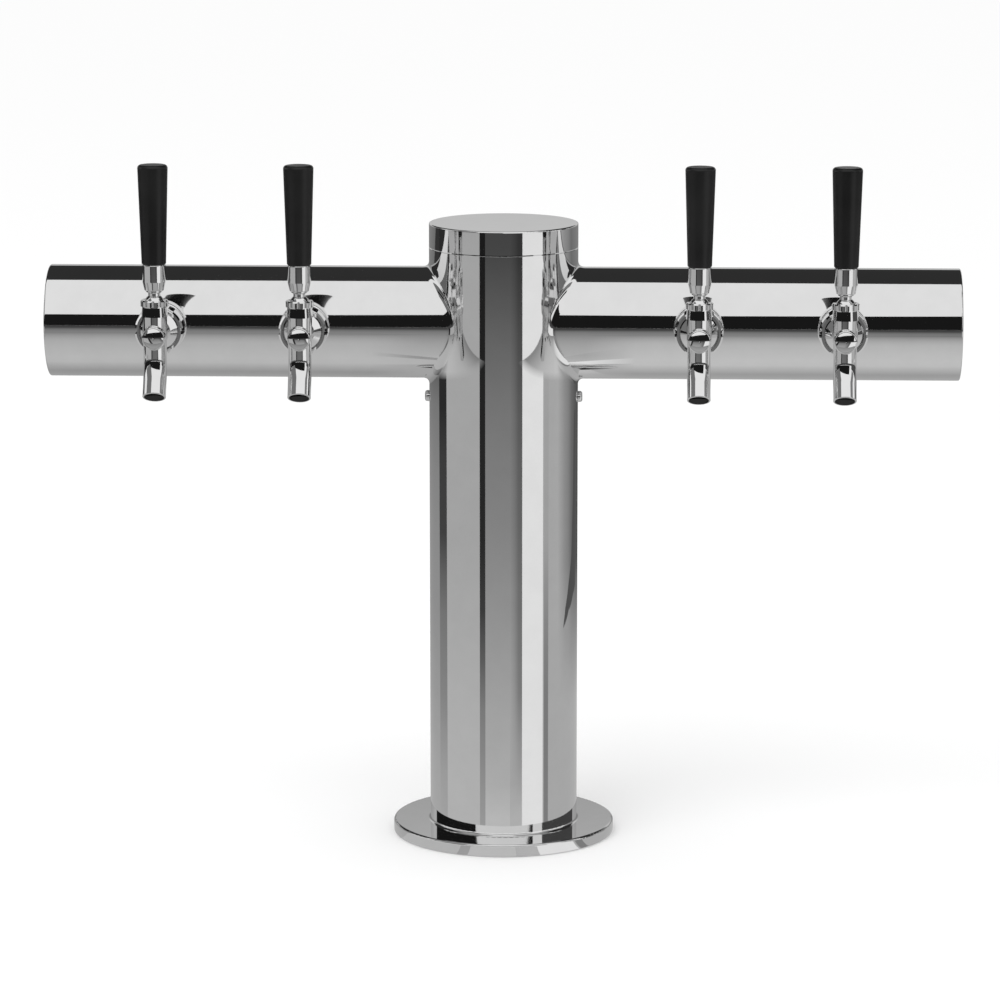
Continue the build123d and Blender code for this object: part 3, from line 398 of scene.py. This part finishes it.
def weld_bead(name, sections):
    """Closed bead on the tower: each section is a ring of points, and the last joins the first."""
    size = len(sections[0])
    verts = [point for section in sections for point in section]
    faces = []
    for i in range(len(sections)):
        j = (i + 1) % len(sections)
        for k in range(size):
            m = (k + 1) % size
            faces.append((i * size + k, j * size + k, j * size + m, i * size + m))
    mesh = bpy.data.meshes.new(name)
    mesh.from_pydata(verts, [], faces)
    shell = bmesh.new()
    shell.from_mesh(mesh)
    bmesh.ops.recalc_face_normals(shell, faces=shell.faces)
    shell.to_mesh(mesh)
    shell.free()
    mesh.shade_smooth()
    mesh.set_sharp_from_angle(angle=SHARP_ANGLE)
    mesh.materials.append(looks["tower"])
    piece = bpy.data.objects.new(name, mesh)
    bpy.context.scene.collection.objects.link(piece)
    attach(piece, "tower")


def fillet_section(foot_a, corner, foot_b, root, steps):
    """Curve that leaves one wall at foot_a and meets the other at foot_b, closed at the root."""
    points = []
    for i in range(steps + 1):
        t = i / steps
        points.append(foot_a * (1 - t) ** 2 + corner * (2 * t * (1 - t)) + foot_b * t**2)
    points.append(root)
    return points


def arm_weld(name, side, leg=4.5 * MM, root_depth=0.5 * MM, turns=120, steps=8):
    """Polished weld fillet round the seam where an arm meets the column."""
    sections = []
    for i in range(turns):
        turn = 2 * math.pi * i / turns
        spread = Vector((0, math.cos(turn), math.sin(turn)))
        around = Vector((0, -math.sin(turn), math.cos(turn)))
        y = arm_radius * math.cos(turn)
        x = math.sqrt(column_radius**2 - y**2)
        corner = Vector((side * x, y, arm_height + arm_radius * math.sin(turn)))
        seam = Vector(
            (side * y * math.sin(turn) * arm_radius / x, around.y * arm_radius, around.z * arm_radius)
        )
        wall = Vector((side * x, y, 0)).normalized()
        away = wall.cross(seam).normalized()
        if away.dot(spread) < 0:
            away = -away
        foot_arm = corner + Vector((side * leg, 0, 0)) - spread * SINK
        foot_column = corner + away * leg
        flat = Vector((foot_column.x, foot_column.y, 0)).normalized() * (column_radius - SINK)
        foot_column = Vector((flat.x, flat.y, foot_column.z))
        root = corner - spread * root_depth - wall * root_depth
        sections.append(fillet_section(foot_arm, corner, foot_column, root, steps))
    weld_bead(name, sections)


def foot_weld(name, leg=1.6 * MM, root_depth=0.4 * MM, turns=160, steps=5):
    """Small fillet round the column's foot, on the flange's top."""
    up = Vector((0, 0, 1))
    sections = []
    for i in range(turns):
        turn = 2 * math.pi * i / turns
        out = Vector((math.cos(turn), math.sin(turn), 0))
        corner = out * column_radius + up * flange_top
        foot_flange = corner + out * leg - up * SINK
        foot_column = corner + up * leg - out * SINK
        root = corner - (out + up) * root_depth
        sections.append(fillet_section(foot_flange, corner, foot_column, root, steps))
    weld_bead(name, sections)


arm_weld("left_arm_weld", side=-1)
arm_weld("right_arm_weld", side=1)
foot_weld("column_foot_weld")

# ---------------------------------------------------------------- studio
scene = bpy.context.scene
scene.view_settings.view_transform = "Standard"

world = bpy.data.worlds.new("studio")
scene.world = world
world.use_nodes = True
air = Shader(world.node_tree)
sky = air.add("ShaderNodeBackground")
sky.inputs["Color"].default_value = rgba(1.0)
sky.inputs["Strength"].default_value = 1.0
air.link(sky.outputs["Background"], air.add("ShaderNodeOutputWorld").inputs["Surface"])

# The floor, and above it the cards that lie on the table, each a hair over the last.
FLOOR_LEVEL = -0.6 * MM
TABLE_LEVEL = -0.3 * MM
STRIPE_LEVEL = -0.1 * MM
LINE_LEVEL = -0.08 * MM
MARK_LEVEL = -0.06 * MM
VEIL_LEVEL = -0.04 * MM


def stage_piece(name, verts, material, faces=None):
    """Floor or card, which isn't part of the object; without faces, the points are one face."""
    mesh = bpy.data.meshes.new(name)
    mesh.from_pydata(verts, [], faces or [tuple(range(len(verts)))])
    mesh.materials.append(material)
    thing = bpy.data.objects.new(name, mesh)
    scene.collection.objects.link(thing)
    return thing


def card(name, verts, material, faces=None):
    """Studio card that the polished metal mirrors and nothing else meets."""
    thing = stage_piece(name, verts, material, faces)
    thing.visible_camera = False
    thing.visible_diffuse = False
    thing.visible_transmission = False
    thing.visible_volume_scatter = False
    thing.visible_shadow = False


def level_square(half, level):
    return [(-half, -half, level), (half, -half, level), (half, half, level), (-half, half, level)]


def upright(line, foot, top):
    """Corners of an upright card over two points on plan."""
    (x1, y1), (x2, y2) = line
    return [(x1, y1, foot), (x2, y2, foot), (x2, y2, top), (x1, y1, top)]


def card_material(name, shade, measure=None, foot=None, fade=None):
    """Glowing card: one grey, or with a measure the stops of shade_along.

    With fade, which is (near, far), it comes in from clear at |X| near to full at |X| far.
    """
    material, shader = bare_material(name)
    glow = shader.add("ShaderNodeEmission")
    surface = glow.outputs["Emission"]
    if measure is None:
        glow.inputs["Color"].default_value = rgba(shade)
    else:
        shader.link(shader.shade_along(measure, shade, foot), glow.inputs["Color"])
    if fade is not None:
        near, far = fade
        cross = shader.add("ShaderNodeMixShader")
        outward = shader.math("ABSOLUTE", shader.axes()["X"])
        shader.link(shader.span(outward, 0.0, 1.0, start=near, end=far), cross.inputs["Fac"])
        shader.link(shader.add("ShaderNodeBsdfTransparent").outputs["BSDF"], cross.inputs[1])
        shader.link(surface, cross.inputs[2])
        surface = cross.outputs["Shader"]
    shader.show(surface)
    return material


def veil_material(name, stops, measure, foot):
    """Veil that dims what lies under it; the greys are the light it lets through."""
    material, shader = bare_material(name)
    sheet = shader.add("ShaderNodeBsdfTransparent")
    shader.link(shader.shade_along(measure, stops, foot), sheet.inputs["Color"])
    shader.show(sheet.outputs["BSDF"])
    return material


floor_material, _, floor_surface = principled_material("floor_pale")
floor_surface["Base Color"].default_value = rgba(0.97)
floor_surface["Roughness"].default_value = 1.0
floor_surface["Specular IOR Level"].default_value = 0.0
stage_piece("floor", level_square(30.0, FLOOR_LEVEL), floor_material)

# A grey table that darkens away from the tower.
TABLE_HALF = 8.0
table_stops = [
    (0.0, 0.66), (0.12, 0.65), (0.22, 0.555), (0.80, 0.385), (1.16, 0.31), (1.80, 0.244),
    (2.57, 0.134), (3.1, 0.080), (TABLE_HALF, 0.050),
]
table_shade = card_material("table_shade", table_stops, "radius")
card("table_card", level_square(TABLE_HALF, TABLE_LEVEL), table_shade)

# A black flag before the tower, its upper edge a little higher on the right.
flag_corners = [(-1.0, -0.9, 0.32), (1.0, -0.9, 0.32), (1.0, -0.9, 0.847), (-1.0, -0.9, 0.613)]
card("front_flag", flag_corners, card_material("black_flag", 0.012))

# Back wall: grey near the horizon, black above it, and a black canopy reaching over the tower.
WALL_HALF = 5.0
WALL_REAR = 2.0
WALL_TOP = 3.0
CANOPY_FRONT = 0.42
back_stops = [(0.0, 0.20), (0.45, 0.36), (0.75, 0.66), (0.98, 0.60), (1.10, 0.035), (WALL_TOP, 0.035)]
card(
    "back_wall", upright([(-WALL_HALF, WALL_REAR), (WALL_HALF, WALL_REAR)], 0.0, WALL_TOP),
    card_material("back_shade", back_stops, "Z"),
)
card(
    "canopy",
    [
        (-WALL_HALF, CANOPY_FRONT, WALL_TOP), (WALL_HALF, CANOPY_FRONT, WALL_TOP),
        (WALL_HALF, WALL_REAR, WALL_TOP), (-WALL_HALF, WALL_REAR, WALL_TOP),
    ],
    card_material("canopy_black", 0.035),
)

# Stripes on the table. Each is given by the turns in which the column mirrors it for the camera,
# so it stands upright in the column.
VIEW_TURN = 2.1
VIEW_HEIGHT = 0.80
VIEW_REACH = 2.9
STRIPE_START = 0.07
STRIPE_END = 3.4
FAN_STEP = 8


def mirrored(turn, step):
    """Point on plan, this far along the ray that the column mirrors in this turn."""
    normal = math.radians((turn + VIEW_TURN) / 2)
    ray = math.radians(turn)
    x = column_radius * math.sin(normal) + step * math.sin(ray)
    y = -column_radius * math.cos(normal) - step * math.cos(ray)
    return Vector((x, y))


def table_step(height):
    """How far along that ray the table lies that the column mirrors at this height."""
    return height * VIEW_REACH / (VIEW_HEIGHT - height)


def stripe(name, start, end, material, level=STRIPE_LEVEL):
    """Fan on the table between two mirrored turns, outwards from the flange."""
    steps = max(1, round(abs(end - start) / FAN_STEP))
    verts = []
    for i in range(steps + 1):
        turn = start + (end - start) * i / steps
        near = 0.0
        while mirrored(turn, near).length < flange_radius + 0.5 * MM:
            near += 0.5 * MM
        for step in (near, STRIPE_END):
            point = mirrored(turn, step)
            verts.append((point.x, point.y, level))
    faces = [(2 * i, 2 * i + 1, 2 * i + 3, 2 * i + 2) for i in range(steps)]
    card(name, verts, material, faces)


stripe("white_stripe", 31.0, 66.0, card_material("stripe_white", 1.0))
slot_stops = [
    (STRIPE_START, 0.45), (0.23, 0.36), (0.45, 0.26), (0.62, 0.14), (0.80, 0.06), (1.1, 0.028),
    (STRIPE_END, 0.012),
]
left_stops = [
    (STRIPE_START, 0.60), (0.23, 0.59), (0.45, 0.57), (0.75, 0.53), (1.1, 0.50), (STRIPE_END, 0.50),
]
left_line_stops = [
    (STRIPE_START, 0.50), (0.23, 0.44), (0.45, 0.31), (0.75, 0.235), (1.1, 0.07), (1.5, 0.06),
    (1.8, 0.03), (STRIPE_END, 0.03),
]
left_edge_stops = [
    (STRIPE_START, 0.50), (0.23, 0.48), (0.45, 0.42), (0.75, 0.36), (1.1, 0.34), (1.5, 0.29),
    (1.8, 0.24), (2.3, 0.05), (STRIPE_END, 0.04),
]
for name, start, end, stops in (
    ("dark_stripe", -26.5, -35.4, slot_stops),
    ("left_stripe", -35.4, -97.0, left_stops),
    ("left_line", -97.0, -116.5, left_line_stops),
    ("left_edge", -116.5, -176.0, left_edge_stops),
):
    stripe(name, start, end, card_material(f"{name}_shade", stops, "radius"))

right_stops = [
    (64.0, 0.50), (93.0, 0.52), (109.0, 0.36), (120.0, 0.29), (131.0, 0.18), (147.0, 0.12),
    (174.0, 0.06),
]
right_shade = card_material("right_stripe_shade", right_stops, "turn", foot=(0.52, 0.40, 0.95))
stripe("right_stripe", 66.0, 176.0, right_shade)
right_line_stops = [
    (STRIPE_START, 0.27), (0.23, 0.27), (0.45, 0.26), (0.75, 0.32), (1.1, 0.46), (STRIPE_END, 0.50),
]
right_line_shade = card_material("right_line_shade", right_line_stops, "radius")
stripe("right_line", 68.0, 76.0, right_line_shade, LINE_LEVEL)

# A slanting dark mark on the right, by turn and by height on the column.
mark = [
    (108.7, 0.150), (125.0, 0.1615), (141.7, 0.172), (152.0, 0.178), (152.0, 0.300), (143.0, 0.300),
    (139.0, 0.240), (134.0, 0.200), (125.0, 0.182), (115.0, 0.164),
]
mark_points = [mirrored(turn, table_step(height)) for turn, height in mark]
card(
    "dark_mark", [(point.x, point.y, MARK_LEVEL) for point in mark_points],
    card_material("dark_mark_shade", 0.10),
)

# A thin grey veil over the table, left of the white stripe.
veil_stops = [(12.0, 1.0), (18.5, 0.82), (24.5, 0.57), (30.5, 0.54)]
veil = veil_material("veil", veil_stops, "turn", foot=(0.9, 0.15, 0.50))
stripe("veil", 12.0, 31.0, veil, VEIL_LEVEL)

# Level cards at the arms' lowest line, seen in the arms' undersides. They fade in away from the
# column, which would mirror them too.
UNDER_LEVEL = 318.5 * MM
UNDER_FRONT, UNDER_REAR = -0.1507, 0.03
UNDER_INNER, UNDER_FULL, UNDER_OUTER = 0.056, 0.090, 0.40
under_stops = [
    (UNDER_FRONT, 0.29), (-0.080, 0.60), (-0.037, 0.705), (-0.030, 0.69), (-0.018, 0.437),
    (0.006, 0.50), (UNDER_REAR, 0.50),
]
under_plan = [
    (UNDER_INNER, UNDER_FRONT), (UNDER_OUTER, UNDER_FRONT),
    (UNDER_OUTER, UNDER_REAR), (UNDER_INNER, UNDER_REAR),
]
for name, side, brightness in (("under_left_arm", -1, 0.91), ("under_right_arm", 1, 1.0)):
    stops = [(y, grey * brightness) for y, grey in under_stops]
    shade = card_material(name, stops, "Y", fade=(UNDER_INNER, UNDER_FULL))
    card(name, [(side * x, y, UNDER_LEVEL) for x, y in under_plan], shade)

# High side walls that darken the flanks of the tilted spouts and of the round bosses.
SIDE_FOOT, SIDE_TOP = 0.45, 1.8
for name, x, front, rear, grey in (
    ("left_wall", -1.03, -1.2, -0.1, 0.20),
    ("right_wall", 1.03, -0.4, -0.05, 0.25),
):
    corners = upright([(x, front), (x, rear)], SIDE_FOOT, SIDE_TOP)
    card(name, corners, card_material(f"{name}_shade", grey))

# Far low boards, curved round the tower's axis, that the flange mirrors by way of the column's foot.
BOARD_RADIUS = 1.3
BOARD_FOOT, BOARD_TOP = 0.27, 0.46
BOARD_STEPS = 12
for name, start, end, grey in (
    ("left_board", -128.0, -42.0, 0.012),
    ("right_board", 64.0, 140.0, 0.08),
):
    verts = []
    for i in range(BOARD_STEPS + 1):
        turn = math.radians(start + (end - start) * i / BOARD_STEPS)
        for height in (BOARD_FOOT, BOARD_TOP):
            verts.append((BOARD_RADIUS * math.sin(turn), -BOARD_RADIUS * math.cos(turn), height))
    faces = [(2 * i, 2 * i + 2, 2 * i + 3, 2 * i + 1) for i in range(BOARD_STEPS)]
    card(name, verts, card_material(f"{name}_shade", grey), faces)


# ---------------------------------------------------------------- lamp and camera
def put(thing, place, direction):
    """Put a lamp or a camera in the scene, looking in this direction."""
    thing.location = place
    thing.rotation_euler = direction.to_track_quat("-Z", "Y").to_euler()
    scene.collection.objects.link(thing)


key_place = Vector((-1.2, -1.6, 2.6))
key_aim = Vector((0, 0, 0.2))
key = bpy.data.lights.new("soft_key", "AREA")
key.shape = "DISK"
key.size = 2.2
key.energy = 22.0
key_object = bpy.data.objects.new("soft_key", key)
key_object.visible_glossy = False
key_object.visible_camera = False
put(key_object, key_place, key_aim - key_place)

azimuth = math.radians(2.1)
elevation = math.radians(10.9)
distance = 2.999
aim = Vector((-0.0025, 0.0, 0.2325))
level_reach = math.cos(elevation)
back = Vector((math.sin(azimuth) * level_reach, -math.cos(azimuth) * level_reach, math.sin(elevation)))
lens = bpy.data.cameras.new("camera")
lens.sensor_width = 36.0
lens.lens = 157.07
camera = bpy.data.objects.new("camera", lens)
put(camera, aim + back * distance, -back)
scene.camera = camera
